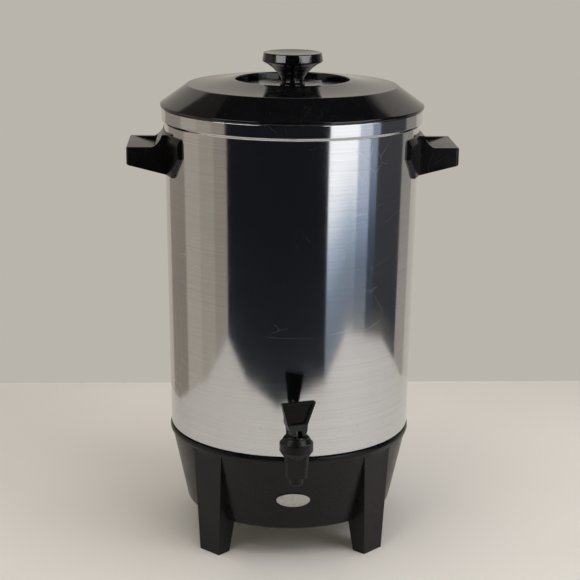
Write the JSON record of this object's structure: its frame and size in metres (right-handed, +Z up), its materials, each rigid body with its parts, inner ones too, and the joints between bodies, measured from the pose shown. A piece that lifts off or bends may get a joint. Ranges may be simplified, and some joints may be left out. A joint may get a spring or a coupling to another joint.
{
  "type": "coffee urn",
  "caption": "Electric percolator coffee urn with a tapered metal body, black legged base, side handles, lift-off lid with knob, inner basket and pump, and a lever tap.",
  "frame": {"origin": "on the table, under the axis of the round body", "axes": "+Z up, -Y is the front with the tap, +X is the right-hand handle"},
  "size_m": [0.262, 0.2481, 0.3968],
  "materials": {
    "polished_aluminium": "polished and lightly brushed",
    "inner_aluminium": "satin, spun",
    "black_phenolic": "moulded, polished",
    "stainless_steel": "drawn, bright",
    "plated_steel": "zinc plated",
    "badge_metal": "satin plate with a dark border",
    "silicone": "moulded",
    "wire_insulation": "woven sleeve",
    "ceramic_white": "pressed",
    "mica_band": "sheet over mica"
  },
  "bodies": {
    "urn": {"urn_body": "polished_aluminium", "handle_left": "black_phenolic", "handle_right": "black_phenolic", "handle_screws": "stainless_steel", "handle_washers": "silicone", "base": "black_phenolic", "base_studs": "plated_steel", "base_nuts": "plated_steel", "base_cover": "plated_steel", "cover_screws": "plated_steel", "badge": "badge_metal", "heating_well": "stainless_steel", "well_gasket": "silicone", "main_heater": "inner_aluminium", "warmer_band": "mica_band", "heater_clamp": "plated_steel", "well_nuts": "plated_steel", "heat_shield": "plated_steel", "thermostat": "ceramic_white", "thermostat_screws": "plated_steel", "thermal_fuse": "plated_steel", "fuse_clip": "plated_steel", "inlet_block": "black_phenolic", "inlet_pins": "plated_steel", "inlet_screws": "plated_steel", "lead_wires": "wire_insulation", "faucet_body": "black_phenolic", "faucet_bonnet": "black_phenolic", "faucet_spring": "stainless_steel", "outer_gasket": "silicone", "inner_gasket": "silicone", "shank_nut": "plated_steel"},
    "lid": {"lid_ring": "black_phenolic", "lid_plate": "inner_aluminium", "drip_ring": "inner_aluminium", "lid_screws": "plated_steel", "lid_knob": "black_phenolic", "knob_screw": "plated_steel"},
    "spreader": {"basket_cover": "inner_aluminium"},
    "basket": {"coffee_basket": "inner_aluminium"},
    "pump": {"pump_tube": "inner_aluminium", "pump_foot": "inner_aluminium", "valve_disc": "stainless_steel"},
    "swivel": {"wear_washer": "stainless_steel"},
    "stem": {"faucet_stem": "stainless_steel", "seat_cup": "silicone"},
    "tap_lever": {"lever": "black_phenolic", "lever_pin": "stainless_steel"}
  },
  "joints": [
    {"name": "lid_lift", "type": "slide", "parent": "urn", "child": "lid", "axis": [0, 0, 1], "range_m": [0, 0.36]},
    {"name": "spreader_lift", "type": "slide", "parent": "urn", "child": "spreader", "axis": [0, 0, 1], "range_m": [0, 0.326]},
    {"name": "basket_lift", "type": "slide", "parent": "urn", "child": "basket", "axis": [0, 0, 1], "range_m": [0, 0.306]},
    {"name": "pump_lift", "type": "slide", "parent": "urn", "child": "pump", "axis": [0, 0, 1], "range_m": [0, 0.286]},
    {"name": "lever_swivel", "type": "hinge", "parent": "urn", "child": "swivel", "pos_m": [0, -0.13, 0.122], "axis": [0, 0, 1], "continuous": true},
    {"name": "stem_lift", "type": "slide", "parent": "swivel", "child": "stem", "axis": [0, 0, 1], "range_m": [0, 0.0028], "stiffness_N_per_m": 300, "springref_m": -0.004, "deforming": ["faucet_spring"]},
    {"name": "lever_tilt", "type": "hinge", "parent": "stem", "child": "tap_lever", "pos_m": [0, -0.13, 0.12651], "axis": [0.9583, 0.2857, 0], "range_deg": [0, 40]}
  ],
  "couplings": [
    {"joint": "spreader_lift", "follows": "lid_lift", "ratio": 0.9028},
    {"joint": "basket_lift", "follows": "lid_lift", "ratio": 0.8472},
    {"joint": "pump_lift", "follows": "lid_lift", "ratio": 0.7917},
    {"joint": "stem_lift", "follows": "lever_tilt", "m_per_rad": 0.004}
  ]
}
